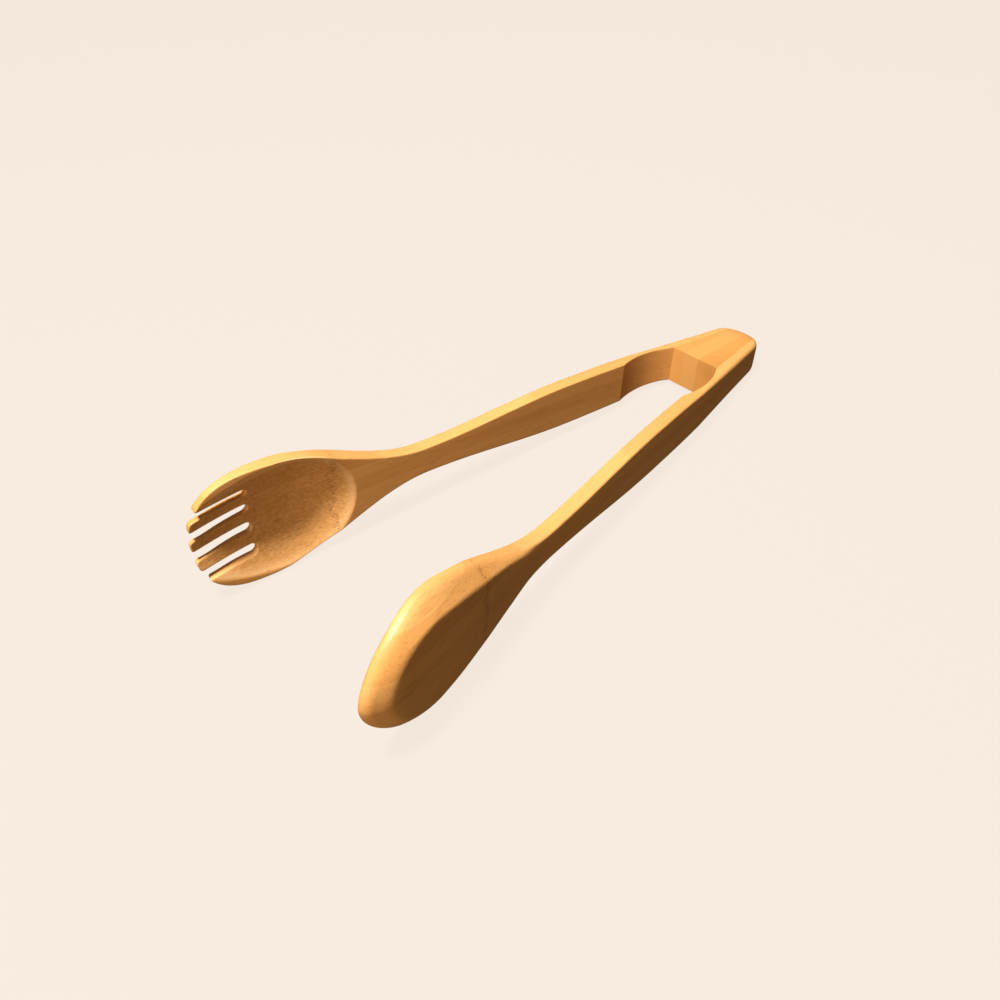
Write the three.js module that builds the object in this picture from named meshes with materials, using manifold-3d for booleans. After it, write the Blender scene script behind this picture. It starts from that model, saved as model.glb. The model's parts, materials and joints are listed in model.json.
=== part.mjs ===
// Bamboo salad tongs: a fork arm and a spoon arm glued to a laminated spacer in the head.
// There is no hinge pin. Each arm is scalloped thin just past the head and bends there,
// so that neck is the spring.
//
// Head frame: X runs from the nose of the head to the tips, Y across the jaws (spoon arm at +Y),
// Z is the thickness of the tongs as they lie on their side. Stave frame: s runs along one stave
// from the nose, n points outwards from its flat inner face, w is up.
import * as THREE from 'three';
import Module from 'manifold-3d';
import { mergeVertices } from 'three/addons/utils/BufferGeometryUtils.js';

const wasm = await Module();
wasm.setup();

// Driving dimensions, in millimetres and degrees.
const overallLength = 304.8;        // nose of the head to the tip of an arm: 12 in
const splayAngle = 8.3;             // each stave from the mid-plane, relaxed
const spacerNoseHalf = 6.9;         // half thickness of the spacer, extended to the nose
const cavityStart = 44.6;           // nose to the end of the spacer
const stripJoints = [-6.8, 2.4];    // glue joints between the three spacer strips, in Y
const glueLine = 0.3;               // clearance left at every glued joint

const noseThickness = 4.2;          // stave thickness at the nose
const staveThickness = 6.8;         // stave thickness along the arm
const taperLength = 70;             // the stave reaches its full thickness here
const scallopMiddle = 62;           // nose to the thinnest place of the neck
const scallopRadius = 45;           // the scallop is one round cut in the inner face
const scallopDepth = 3.4;
const springSlit = 0.6;             // clearance where a stave bends, at the thinnest place

const noseHalf = 8.7;               // half height at the nose, which is fully rounded
const swellHalf = 11.3;             // half height of the grip
const swellFromNose = 114;
const swellPower = 1.2;             // above 1 keeps the swell slow near the nose
const neckHalf = 6.9;               // half height of the slim neck above each bowl
const neckFromTip = 108.4;
const edgeEase = 0.5;               // the outer edges of the arms are eased by this much

const rimLip = 0.8;                 // flat lip between a bowl's outline and its scoop
const leastBack = 0.25;             // least share of the half height left to a bowl's back
const slotCount = 4;
const slotPitch = 10.2;
const slotWidth = 5;
const slotLength = 26.2;

// The bowls. Profiles are [distance from the tip, value] pairs.
const spoon = {
  halfWidth: 28.7,
  widestFromTip: 34,
  tipPower: 1.75,
  tipBack: 8,
  rim: [[98, 6.8], [80, 4.7], [50, 3.7], [33, 4.6], [18, 6], [0, 6]],
  back: [[98, 7.3], [66, 8.8], [50, 10], [33, 11.2], [15, 11], [0, 10.4]],
  bevel: [[98, 0.5], [80, 3.4], [60, 6], [40, 7], [0, 6]],
  scoopStart: 72,
  scoopDeepest: 42,
  scoopEnd: 3.2,
  scoopDepth: 7,
};
const fork = {
  halfWidth: 28.6,
  widestFromTip: 28.4,
  tipPower: 2.6,
  tipBack: 8,
  rim: [[98, 6.8], [62, 7.6], [42, 6.6], [22, 4.6], [0, 4]],
  back: [[98, 7.3], [62, 9.8], [42, 11], [25, 10.2], [0, 6.6]],
  bevel: [[98, 0.5], [80, 3], [60, 8], [40, 13], [0, 13]],
  scoopStart: 72,
  scoopDeepest: 42,
  scoopEnd: -4.5,
  scoopDepth: 7.4,
};

// Sizes that follow from the ones above.
const splay = THREE.MathUtils.degToRad(splayAngle);
const noseSide = spacerNoseHalf + noseThickness / Math.cos(splay);
const taperSlope = Math.atan((staveThickness - noseThickness) / taperLength);
const outerAngle = splay + taperSlope;
const noseRadius = noseSide * Math.cos(outerAngle) / (1 - Math.sin(outerAngle));
const cutHeight = 3 * swellHalf;    // tall enough to cut right through a stave
const cutReach = 2 * overallLength;

// How finely the curves are stepped.
const noseSteps = 12;
const sideStep = 8;
const handleSteps = 44;
const tipSteps = 16;
const curveSteps = 24;
const scallopSteps = 90;

function clamp01(t) {
  return Math.min(Math.max(t, 0), 1);
}

function ease(from, to, t) {
  return from + (to - from) * (1 - Math.cos(Math.PI * clamp01(t))) / 2;
}

function fromProfile(profile, fromTip) {
  if (fromTip >= profile[0][0]) return profile[0][1];
  const next = profile.findIndex(([place]) => place <= fromTip);
  const [farPlace, farValue] = profile[next - 1];
  const [nearPlace, nearValue] = profile[next];
  return ease(farValue, nearValue, (farPlace - fromTip) / (farPlace - nearPlace));
}

// Length of a stave from the nose, so that nose to tip is the overall length.
function staveLength(blade) {
  const sideways = blade.tipBack + spacerNoseHalf * Math.cos(splay);
  return Math.sqrt(overallLength ** 2 - sideways ** 2) - spacerNoseHalf * Math.sin(splay);
}

function outerFace(s) {
  return noseThickness + (staveThickness - noseThickness) * clamp01(s / taperLength);
}

// Side outline: half height at a distance from the nose, as far as the widest place of a bowl.
function handleHalf(s) {
  if (s < noseHalf) return Math.sqrt(Math.max(noseHalf ** 2 - (noseHalf - s) ** 2, 0));
  const rise = (s - noseHalf) / (swellFromNose - noseHalf);
  return noseHalf + (swellHalf - noseHalf) * Math.sin(clamp01(rise) * Math.PI / 2) ** swellPower;
}

function outlineHalf(s, blade) {
  const length = staveLength(blade);
  const neck = length - neckFromTip;
  const widest = length - blade.widestFromTip;
  if (s <= swellFromNose) return handleHalf(s);
  if (s <= neck) return ease(swellHalf, neckHalf, (s - swellFromNose) / (neck - swellFromNose));
  if (s <= widest) return ease(neckHalf, blade.halfWidth, (s - neck) / (widest - neck));
  const t = Math.min((s - widest) / blade.widestFromTip, 1);
  return blade.halfWidth * (1 - t ** blade.tipPower) ** (1 / blade.tipPower);
}

// ---- Solids ----

function solid(geometry) {
  const bare = geometry.index ? geometry.toNonIndexed() : geometry.clone();
  bare.deleteAttribute('normal');
  bare.deleteAttribute('uv');
  const merged = mergeVertices(bare, 1e-4);
  return new wasm.Manifold(new wasm.Mesh({
    numProp: 3,
    vertProperties: new Float32Array(merged.attributes.position.array),
    triVerts: new Uint32Array(merged.index.array),
  }));
}

function geometryOf(manifold) {
  const mesh = manifold.getMesh();
  const geometry = new THREE.BufferGeometry();
  const positions = new THREE.BufferAttribute(new Float32Array(mesh.vertProperties), 3);
  geometry.setAttribute('position', positions);
  geometry.setIndex(new THREE.BufferAttribute(new Uint32Array(mesh.triVerts), 1));
  geometry.computeVertexNormals();
  return geometry;
}

// A plan outline given in X and Y, standing from -halfHeight to +halfHeight in Z.
function standing(shape, halfHeight, steps = curveSteps) {
  const geometry = new THREE.ExtrudeGeometry(shape, {
    depth: 2 * halfHeight, bevelEnabled: false, curveSegments: steps,
  });
  return geometry.translate(0, 0, -halfHeight);
}

// A side outline given in X and Z, running from -halfWidth to +halfWidth in Y.
function across(shape, halfWidth) {
  return standing(shape, halfWidth).rotateX(Math.PI / 2);
}

function polygon(points) {
  return new THREE.Shape(points.map(([x, y]) => new THREE.Vector2(x, y)));
}

function box(lowX, highX, lowY, highY) {
  const outline = [[lowX, lowY], [highX, lowY], [highX, highY], [lowX, highY]];
  return solid(standing(polygon(outline), cutHeight));
}

// The other side's copy of a geometry: mirrored in Y, with its faces turned out again.
function mirrored(geometry) {
  const copy = geometry.clone();
  const places = copy.attributes.position;
  for (let i = 0; i < places.count; i += 1) places.setY(i, -places.getY(i));
  const order = copy.index.array;
  for (let i = 0; i < order.length; i += 3) [order[i], order[i + 1]] = [order[i + 1], order[i]];
  copy.computeVertexNormals();
  return copy;
}

// ---- Head ----

// Everything of the head's height: the side outline with the round nose.
function headSide() {
  const top = [];
  for (let i = 1; i <= noseSteps; i += 1) {
    const turn = (Math.PI / 2) * (i / noseSteps);
    top.push([noseHalf * (1 - Math.cos(turn)), noseHalf * Math.sin(turn)]);
  }
  for (let s = noseHalf + sideStep; s < scallopMiddle + sideStep; s += sideStep) {
    top.push([s, handleHalf(s)]);
  }
  const bottom = top.map(([s, half]) => [s, -half]).reverse();
  return solid(across(polygon([[0, 0], ...top, ...bottom].reverse()), cutHeight));
}

// Everything of the head's plan: a full round nose, tangent to both outer faces.
function headPlan() {
  const tangentX = noseRadius * (1 - Math.sin(outerAngle));
  const tangentY = noseRadius * Math.cos(outerAngle);
  const turn = Math.PI / 2 + outerAngle;
  const shape = new THREE.Shape();
  shape.moveTo(tangentX, -cutHeight);
  shape.lineTo(cutReach, -cutHeight);
  shape.lineTo(cutReach, cutHeight);
  shape.lineTo(tangentX, cutHeight);
  shape.lineTo(tangentX, tangentY);
  shape.absarc(noseRadius, 0, noseRadius, turn, 2 * Math.PI - turn, false);
  return solid(standing(shape, cutHeight));
}

function headBlank() {
  return headPlan().intersect(headSide());
}

// One strip of the spacer, between two glue joints or up to a stave.
function spacerStrip(lowY, highY) {
  const gap = glueLine / Math.cos(splay);
  const side = (x) => spacerNoseHalf + x * Math.tan(splay) - gap;
  const wedge = polygon([[0, -side(0)], [cavityStart, -side(cavityStart)],
    [cavityStart, side(cavityStart)], [0, side(0)]]);
  const block = headBlank().intersect(solid(standing(wedge, cutHeight)));
  return geometryOf(block.intersect(box(-1, cavityStart + 1, lowY, highY)));
}

// ---- Staves, made for the spoon's side ----

function scallop() {
  const centre = scallopDepth - scallopRadius;
  const round = new THREE.Shape();
  round.absarc(scallopMiddle, centre, scallopRadius, 0, 2 * Math.PI, false);
  return solid(standing(round, cutHeight, scallopSteps));
}

// From the stave frame to the head frame, for the spoon's side.
function splayed(geometry) {
  return geometry.rotateZ(splay).translate(0, spacerNoseHalf, 0);
}

// The end of a stave that is glued into the head, as far as the middle of its neck.
function staveButt() {
  const end = scallopMiddle - springSlit / 2;
  const before = -2 * noseThickness;
  const outline = polygon([[before, 0], [end, 0], [end, outerFace(end)],
    [before, outerFace(end) - (end - before) * Math.tan(taperSlope)]]);
  const stave = solid(standing(outline, cutHeight)).subtract(scallop());
  return geometryOf(solid(splayed(geometryOf(stave))).intersect(headBlank()));
}

// Points along one half of an arm's outline: evenly along the handle, then round the tip.
function outlinePoints(blade) {
  const length = staveLength(blade);
  const widest = length - blade.widestFromTip;
  const start = scallopMiddle + springSlit / 2;
  const points = [];
  for (let i = 0; i < handleSteps; i += 1) {
    const s = start + (widest - start) * (i / handleSteps);
    points.push([s, outlineHalf(s, blade)]);
  }
  for (let i = 0; i < tipSteps; i += 1) {
    const turn = (Math.PI / 2) * (i / tipSteps);
    const along = Math.sin(turn) ** (2 / blade.tipPower);
    const half = Math.cos(turn) ** (2 / blade.tipPower);
    points.push([widest + blade.widestFromTip * along, blade.halfWidth * half]);
  }
  return points;
}

// The arm before its scoop is cut: flat inner face, upright rim, bevel and flat back.
function armBlank(blade) {
  const length = staveLength(blade);
  const outline = outlinePoints(blade);
  const positions = [];
  outline.forEach(([s, half], i) => {
    const [beforeS, beforeHalf] = outline[Math.max(i - 1, 0)];
    const [afterS, afterHalf] = outline[Math.min(i + 1, outline.length - 1)];
    const edge = new THREE.Vector2(afterS - beforeS, afterHalf - beforeHalf).normalize();
    const fromTip = length - s;
    const inBowl = fromTip < blade.rim[0][0];
    const rim = inBowl ? fromProfile(blade.rim, fromTip) : outerFace(s) - edgeEase;
    const back = inBowl ? fromProfile(blade.back, fromTip) - edgeEase : outerFace(s);
    const inset = inBowl ? fromProfile(blade.bevel, fromTip) : edgeEase;
    const backS = i === 0 ? s : s + inset * edge.y;
    const backHalf = Math.max(half - inset * edge.x, leastBack * half);
    positions.push(s, 0, half, s, rim, half, backS, back, backHalf);
    positions.push(backS, back, -backHalf, s, rim, -half, s, 0, -half);
  });
  const corners = 6;
  const order = [];
  for (let i = 0; i + 1 < outline.length; i += 1) {
    for (let k = 0; k < corners; k += 1) {
      const a = i * corners + k;
      const b = i * corners + (k + 1) % corners;
      order.push(a, b + corners, b, a, a + corners, b + corners);
    }
  }
  const last = (outline.length - 1) * corners;
  for (let k = 1; k + 1 < corners; k += 1) {
    order.push(0, k, k + 1, last, last + k + 1, last + k);
  }
  const geometry = new THREE.BufferGeometry();
  geometry.setAttribute('position', new THREE.Float32BufferAttribute(positions, 3));
  geometry.setIndex(order);
  return solid(geometry);
}

// The scoop: a round hollow that is shorter towards the neck than towards the tip.
function scoopTool(blade) {
  const length = staveLength(blade);
  const neckReach = blade.scoopStart - blade.scoopDeepest;
  const tipReach = blade.scoopDeepest - blade.scoopEnd;
  const geometry = new THREE.SphereGeometry(1, 64, 32).rotateX(Math.PI / 2);
  const places = geometry.attributes.position;
  for (let i = 0; i < places.count; i += 1) {
    const x = places.getX(i);
    places.setX(i, length - blade.scoopDeepest + x * (x < 0 ? neckReach : tipReach));
    places.setY(i, places.getY(i) * blade.scoopDepth);
    places.setZ(i, places.getZ(i) * (blade.halfWidth - rimLip));
  }
  return solid(geometry);
}

// One slot between two tines, with a round root.
function slotTool(blade, w) {
  const root = staveLength(blade) - slotLength;
  const half = slotWidth / 2;
  const shape = new THREE.Shape();
  shape.moveTo(cutReach, w - half);
  shape.lineTo(cutReach, w + half);
  shape.lineTo(root + half, w + half);
  shape.absarc(root + half, w, half, Math.PI / 2, 1.5 * Math.PI, false);
  return solid(across(shape, cutHeight));
}

function arm(blade) {
  return armBlank(blade).subtract(scoopTool(blade)).subtract(scallop());
}

function spoonArm() {
  return splayed(geometryOf(arm(spoon)));
}

function forkArm() {
  let body = arm(fork);
  for (let i = 0; i < slotCount; i += 1) {
    body = body.subtract(slotTool(fork, (i - (slotCount - 1) / 2) * slotPitch));
  }
  return mirrored(splayed(geometryOf(body)));
}

// ---- Assembly ----

function bamboo(colour, roughness) {
  return new THREE.MeshStandardMaterial({ color: colour, roughness, metalness: 0 });
}

function named(name, geometry, material) {
  const mesh = new THREE.Mesh(geometry, material);
  mesh.name = name;
  return mesh;
}

const half = glueLine / 2;
const farY = 3 * spacerNoseHalf;
const head = new THREE.Group();
head.add(named('spacer_strip_fork_side', spacerStrip(-farY, stripJoints[0] - half),
  bamboo('#d98f3c', 0.55)));
head.add(named('spacer_strip_middle', spacerStrip(stripJoints[0] + half, stripJoints[1] - half),
  bamboo('#e6ab5c', 0.55)));
head.add(named('spacer_strip_spoon_side', spacerStrip(stripJoints[1] + half, farY),
  bamboo('#cf8535', 0.55)));
head.add(named('fork_stave_butt', mirrored(staveButt()), bamboo('#f0c274', 0.5)));
head.add(named('spoon_stave_butt', staveButt(), bamboo('#efb766', 0.5)));

const arms = new THREE.Group();
arms.add(named('fork_arm', forkArm(), bamboo('#f2c678', 0.5)));
arms.add(named('spoon_arm', spoonArm(), bamboo('#efbd6c', 0.5)));

// The tongs lie on one edge of the head and the lower rims of both bowls.
const tongs = new THREE.Group();
tongs.add(head, arms);
const bowlDrop = Math.max(spoon.halfWidth, fork.halfWidth) - noseHalf;
tongs.rotation.y = -Math.asin(bowlDrop / (overallLength - spoon.widestFromTip - noseHalf));
tongs.updateMatrixWorld(true);

// The origin is on the plane of symmetry, under the middle of the length.
const extent = new THREE.Box3().setFromObject(tongs, true);
tongs.position.set(-(extent.min.x + extent.max.x) / 2, 0, -extent.min.z);

const part = new THREE.Group();
part.add(tongs);

export default part;
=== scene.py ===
"""Bamboo salad tongs: a fork stave and a spoon stave glued to a laminated spacer in the head.

Each stave is one board from the nose of the head to its tip. It is scalloped thin just past the
spacer, where the tongs flex when squeezed. Sizes are in millimetres until a mesh is placed in the
frame.

Head frame: X from the nose to the tips, Y across the jaws (spoon at +Y), Z up.
Board frame: s along one stave from the nose, n outwards from its flat inner face, w up.
"""
import json
import math

import bpy
import numpy as np
from mathutils import Matrix, Vector
from mathutils.geometry import delaunay_2d_cdt


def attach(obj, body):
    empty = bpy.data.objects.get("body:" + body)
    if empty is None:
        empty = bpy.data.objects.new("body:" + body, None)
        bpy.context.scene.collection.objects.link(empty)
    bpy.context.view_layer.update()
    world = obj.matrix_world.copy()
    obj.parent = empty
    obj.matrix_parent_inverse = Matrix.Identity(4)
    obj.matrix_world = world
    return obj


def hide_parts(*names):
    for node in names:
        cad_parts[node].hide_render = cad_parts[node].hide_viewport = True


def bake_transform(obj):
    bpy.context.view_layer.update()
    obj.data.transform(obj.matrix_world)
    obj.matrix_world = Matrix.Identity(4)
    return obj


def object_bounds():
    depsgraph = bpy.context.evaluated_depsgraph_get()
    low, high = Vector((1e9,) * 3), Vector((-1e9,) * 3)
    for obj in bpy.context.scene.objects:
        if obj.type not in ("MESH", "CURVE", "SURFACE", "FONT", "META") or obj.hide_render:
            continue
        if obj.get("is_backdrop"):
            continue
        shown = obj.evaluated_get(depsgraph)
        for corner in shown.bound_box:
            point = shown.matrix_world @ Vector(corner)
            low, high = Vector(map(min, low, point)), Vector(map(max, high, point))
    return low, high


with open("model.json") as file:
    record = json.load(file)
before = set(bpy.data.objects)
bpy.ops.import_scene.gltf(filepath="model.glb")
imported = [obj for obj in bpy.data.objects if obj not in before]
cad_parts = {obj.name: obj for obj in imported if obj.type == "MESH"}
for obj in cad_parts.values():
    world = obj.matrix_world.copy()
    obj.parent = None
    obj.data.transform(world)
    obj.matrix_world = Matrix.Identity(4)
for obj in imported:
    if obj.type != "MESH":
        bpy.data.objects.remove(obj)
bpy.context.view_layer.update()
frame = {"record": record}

# ---- Sizes, in millimetres and degrees ----

OVERALL_LENGTH = 304.8
SPLAY = math.radians(8.3)
SPACER_NOSE_HALF = 6.9
CAVITY_START = 44.6
STRIP_JOINTS = (-6.8, 2.4)
GLUE_LINE = 0.04

NOSE_THICKNESS = 4.2
STAVE_THICKNESS = 6.8
TAPER_LENGTH = 70.0
SCALLOP_MIDDLE = 62.0
SCALLOP_RADIUS = 45.0
SCALLOP_DEPTH = 3.4

NOSE_HALF = 8.7
NOSE_LENGTH = 12.0         # the head rounds down to the nose over this length
NOSE_REACH = 2.0           # and swells this much past the glued ends of the staves
NOSE_BLUNT = 0.74          # share of the half height left at the very end
SWELL_HALF = 11.3
SWELL_FROM_NOSE = 114.0
SWELL_POWER = 1.2
NECK_FROM_TIP = 108.4
BOWL_START = 98.0          # distance from the tip where an arm starts to turn into its bowl
BOWL_BLEND = 20.0          # an arm's outer face turns into the bowl's over this length
CREASE_START = 80.0        # distance from the tip where the mesh starts to follow the bevel

HEAD_EASE = 2.2            # radius of the sanded edges round the head
TINE_EASE = 1.3            # radius of a tine's two corners
EASE_FADE = 3.0            # an edge's easing fades in over this length, or in this thickness
WORN_REACH = 0.7           # how far in from an edge the surface is rubbed paler

SLOT_COUNT = 4
SLOT_PITCH = 10.2
SLOT_WIDTH = 5.0
SLOT_LENGTH = 26.2

# A profile is a row of (distance from the tip, value) pairs. "rim" and "back" are n of the bowl's
# back at its outline and past its bevel, "bevel" is the bevel's width, "crease" the radius where
# they meet, "crown" how far the back's middle swells, and "lift" how far the inner rim rises.
SPOON = {
    "neck_half": 7.3,
    "half_width": 28.7,
    "widest_from_tip": 34.0,
    "tip_length": 34.0,
    "tip_power": 1.75,
    "tip_back": 8.0,
    "rim": ((98, 6.8), (80, 4.9), (62, 3.9), (50, 3.6), (33, 4.8), (18, 6.8), (0, 7.8)),
    "back": ((98, 7.1), (78, 7.9), (66, 8.9), (54, 9.8), (42, 10.6), (30, 11.1), (12, 11.7),
             (0, 10.3)),
    "bevel": ((98, 1.2), (80, 1.8), (66, 4.3), (54, 6.4), (42, 7.5), (30, 7.0), (15, 5.2),
              (0, 4.2)),
    "crease": ((98, 0.8), (70, 0.2), (25, 0.2), (12, 1.2), (0, 3.0)),
    "crown": ((98, 0.0), (60, 0.8), (0, 0.8)),
    "lift": ((98, 0.0), (40, 0.0), (30, 0.6), (19, 2.2), (0, 3.8)),
    "inner_ease": ((98, 0.45), (50, 0.45), (25, 1.4), (0, 1.4)),
    "outer_ease": ((98, 1.0), (62, 1.4), (40, 2.4), (0, 2.6)),
    "scoop_start": 72.0,
    "scoop_deepest": 42.0,
    "scoop_end": 3.2,
    "scoop_depth": 7.0,
    "scoop_power": 0.9,
    "slots": 0,
}
FORK = {
    "neck_half": 6.8,
    "half_width": 28.6,
    "widest_from_tip": 28.4,
    "tip_length": 29.4,
    "tip_power": 2.6,
    "tip_back": 8.0,
    "rim": ((98, 6.8), (80, 7.4), (62, 8.4), (42, 7.4), (22, 5.4), (10, 3.8), (3, 4.8), (0, 5.8)),
    "back": ((98, 6.9), (80, 8.0), (62, 9.1), (42, 8.5), (25, 7.0), (10, 5.7), (0, 6.2)),
    "bevel": ((98, 2.0), (80, 3.0), (60, 4.0), (0, 4.0)),
    "crease": ((98, 1.2), (70, 1.0), (0, 2.0)),
    "crown": ((98, 0.0), (62, 2.4), (42, 4.8), (25, 4.8), (10, 3.0), (0, 0.6)),
    "lift": ((98, 0.0), (0, 0.0)),
    "inner_ease": ((98, 0.45), (0, 0.45)),
    "outer_ease": ((98, 1.0), (0, 1.0)),
    "scoop_start": 72.0,
    "scoop_deepest": 42.0,
    "scoop_end": -10.0,
    "scoop_depth": 9.4,
    "scoop_power": 1.15,
    "slots": SLOT_COUNT,
}
SCOOP_LIP = 0.8            # flat lip between a bowl's outline and its scoop
FAIRING = 9.0              # profiles are faired over this length

GRID_STEP = 1.15           # mesh spacing on the faces
EDGE_STEP = 0.7            # mesh spacing along the edges
EDGE_RINGS = (0.03, 0.12, 0.27, 0.45, 0.7, 1.0, 1.5, 2.2)
WALL_ROWS = 4              # rows of faces on the wall between a stave's two faces
SHARP_ANGLE = math.radians(40)

# The round nose is a circle that runs smoothly into the outer faces of both staves.
NOSE_SIDE = SPACER_NOSE_HALF + NOSE_THICKNESS / math.cos(SPLAY)
OUTER_ANGLE = SPLAY + math.atan((STAVE_THICKNESS - NOSE_THICKNESS) / TAPER_LENGTH)
NOSE_RADIUS = ((NOSE_SIDE * math.cos(OUTER_ANGLE) - NOSE_REACH * math.sin(OUTER_ANGLE))
               / (1 - math.sin(OUTER_ANGLE)))
NOSE_CENTRE = NOSE_RADIUS - NOSE_REACH

# ---- The head frame in the row frame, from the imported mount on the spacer's end ----

MOUNTS = {mount["name"]: mount for mount in frame["record"]["mounts"]}


def head_to_row():
    """The matrix from the head frame, in metres, to the row frame."""
    wall = MOUNTS["cavity_wall"]
    along = Vector(wall["axis"]).normalized()
    across = Vector((0, 1, 0))
    up = along.cross(across)
    turn = Matrix((along, across, up)).transposed()
    wall_middle = Vector((CAVITY_START, sum(STRIP_JOINTS) / 2, 0)) / 1000
    return Matrix.Translation(Vector(wall["pos_m"]) - turn @ wall_middle) @ turn.to_4x4()


HEAD_TO_ROW = head_to_row()


def board_to_head(s, n, w, side):
    """Points of the board frame in the head frame: side is 1 for the spoon, -1 for the fork."""
    x = s * math.cos(SPLAY) - n * math.sin(SPLAY)
    y = SPACER_NOSE_HALF + s * math.sin(SPLAY) + n * math.cos(SPLAY)
    return np.stack((x, side * y, w), axis=-1)


# ---- Outlines ----


def stave_length(blade):
    sideways = blade["tip_back"] + SPACER_NOSE_HALF * math.cos(SPLAY)
    return math.sqrt(OVERALL_LENGTH**2 - sideways**2) - SPACER_NOSE_HALF * math.sin(SPLAY)


def ease(low, high, t):
    return low + (high - low) * (1 - np.cos(math.pi * np.clip(t, 0, 1))) / 2


def handle_half(s):
    """Half height of the head and the grip at a distance from the nose."""
    short = np.clip((NOSE_LENGTH - s) / (NOSE_LENGTH + NOSE_REACH), 0, 1)
    nose = NOSE_HALF * np.sqrt(1 - (1 - NOSE_BLUNT**2) * short**2)
    rise = np.clip((s - NOSE_LENGTH) / (SWELL_FROM_NOSE - NOSE_LENGTH), 0, 1)
    return nose + (SWELL_HALF - NOSE_HALF) * np.sin(rise * math.pi / 2) ** SWELL_POWER


def stave_half(s, blade):
    """Half height of a stave from the nose to the widest place of its bowl."""
    neck = stave_length(blade) - NECK_FROM_TIP
    widest = stave_length(blade) - blade["widest_from_tip"]
    to_neck = ease(SWELL_HALF, blade["neck_half"], (s - SWELL_FROM_NOSE) / (neck - SWELL_FROM_NOSE))
    to_bowl = ease(blade["neck_half"], blade["half_width"], (s - neck) / (widest - neck))
    return np.where(s < SWELL_FROM_NOSE, handle_half(s), np.where(s < neck, to_neck, to_bowl))


def tip_reach(w, blade):
    """How far the rounded tip reaches, as s, at a height w."""
    share = np.clip(np.abs(w) / blade["half_width"], 0, 1) ** blade["tip_power"]
    widest = stave_length(blade) - blade["widest_from_tip"]
    return widest + blade["tip_length"] * (1 - share) ** (1 / blade["tip_power"])


def nose_start():
    """Where a stave's inner face leaves the round nose of the head."""
    s = np.linspace(0, NOSE_RADIUS, 400)
    place = board_to_head(s, 0 * s, 0 * s, 1)
    inside = np.hypot(place[:, 0] - NOSE_CENTRE, place[:, 1]) < NOSE_RADIUS
    return float(s[inside][0])


def evenly(points, step):
    """The same open line with its points about one step apart."""
    reach = np.append(0, np.cumsum(np.hypot(*np.diff(points, axis=0).T)))
    places = np.linspace(0, reach[-1], max(2, round(reach[-1] / step) + 1))
    return np.stack([np.interp(places, reach, points[:, i]) for i in (0, 1)], axis=-1)


def tip_line(high, low, blade, cut_high, cut_low):
    """The tip's edge between two heights, with its corners rounded where a slot cuts it."""
    turn = np.linspace(0, math.pi, 60)
    w = high + (low - high) * (1 - np.cos(turn)) / 2
    to_corner = np.full_like(w, TINE_EASE)
    if cut_high:
        to_corner = np.minimum(to_corner, high - w)
    if cut_low:
        to_corner = np.minimum(to_corner, w - low)
    missing = TINE_EASE - np.sqrt(TINE_EASE**2 - (TINE_EASE - to_corner) ** 2)
    return np.stack((tip_reach(w, blade) - missing, w), axis=-1)


def upper_outline(blade, slots):
    """Half of a stave's outline in (s, w), from the middle of its nose to the middle of its tip."""
    start = nose_start()
    widest = stave_length(blade) - blade["widest_from_tip"]
    s = np.arange(start, widest, EDGE_STEP / 2)
    edge = np.stack((s, stave_half(s, blade)), axis=-1)
    lines = [np.array([(start, 0.0), (start, edge[0, 1])]), edge]
    high = blade["half_width"]
    cut_high = False
    for i in reversed(range(slots // 2)):
        middle = (i + 0.5) * SLOT_PITCH
        lines.append(tip_line(high, middle + SLOT_WIDTH / 2, blade, cut_high, True))
        turn = np.linspace(math.pi / 2, 1.5 * math.pi, 24)
        root = stave_length(blade) - SLOT_LENGTH + SLOT_WIDTH / 2
        round_root = (root + SLOT_WIDTH / 2 * np.cos(turn), middle + SLOT_WIDTH / 2 * np.sin(turn))
        lines.append(np.stack(round_root, axis=-1))
        high = middle - SLOT_WIDTH / 2
        cut_high = True
    lines.append(tip_line(high, 0.0, blade, cut_high, False))
    return evenly(np.concatenate(lines), EDGE_STEP)


def whole_outline(blade, slots):
    """The closed outline, clockwise, with no point twice."""
    upper = upper_outline(blade, slots)
    return np.concatenate((upper, (upper * (1, -1))[-2:0:-1]))


def distance_to(points, line):
    """Distance of each point to an open line."""
    starts, ends = line[:-1], line[1:]
    run = ends - starts
    length2 = np.maximum((run**2).sum(1), 1e-12)
    nearest = np.empty(len(points))
    for first in range(0, len(points), 2000):
        part = points[first : first + 2000, None, :] - starts[None]
        t = np.clip((part * run).sum(-1) / length2, 0, 1)
        gap = part - t[..., None] * run
        nearest[first : first + 2000] = np.sqrt((gap**2).sum(-1).min(1))
    return nearest


def inside_of(points, loop):
    """Whether each point is inside a closed outline."""
    x1, y1 = loop.T
    x2, y2 = np.roll(loop, -1, axis=0).T
    crossed = np.zeros(len(points), int)
    for a, b, c, d in zip(x1, y1, x2, y2):
        spans = (b > points[:, 1]) != (d > points[:, 1])
        reach = a + (points[:, 1] - b) * (c - a) / (d - b if d != b else 1.0)
        crossed += spans & (points[:, 0] < reach)
    return crossed % 2 == 1


# ---- Faces of a stave ----


def faired(knots):
    """A profile through its knots with the corners faired out, as a function of s from the tip."""
    place = np.arange(-60.0, 420.0, 0.5)
    value = np.interp(place, *zip(*sorted(knots)))
    window = np.hanning(int(2 * FAIRING / 0.5) + 1)
    padded = np.pad(value, len(window) // 2, mode="edge")
    smooth = np.convolve(padded, window / window.sum(), mode="valid")
    return lambda from_tip: np.interp(from_tip, place, smooth)


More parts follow.
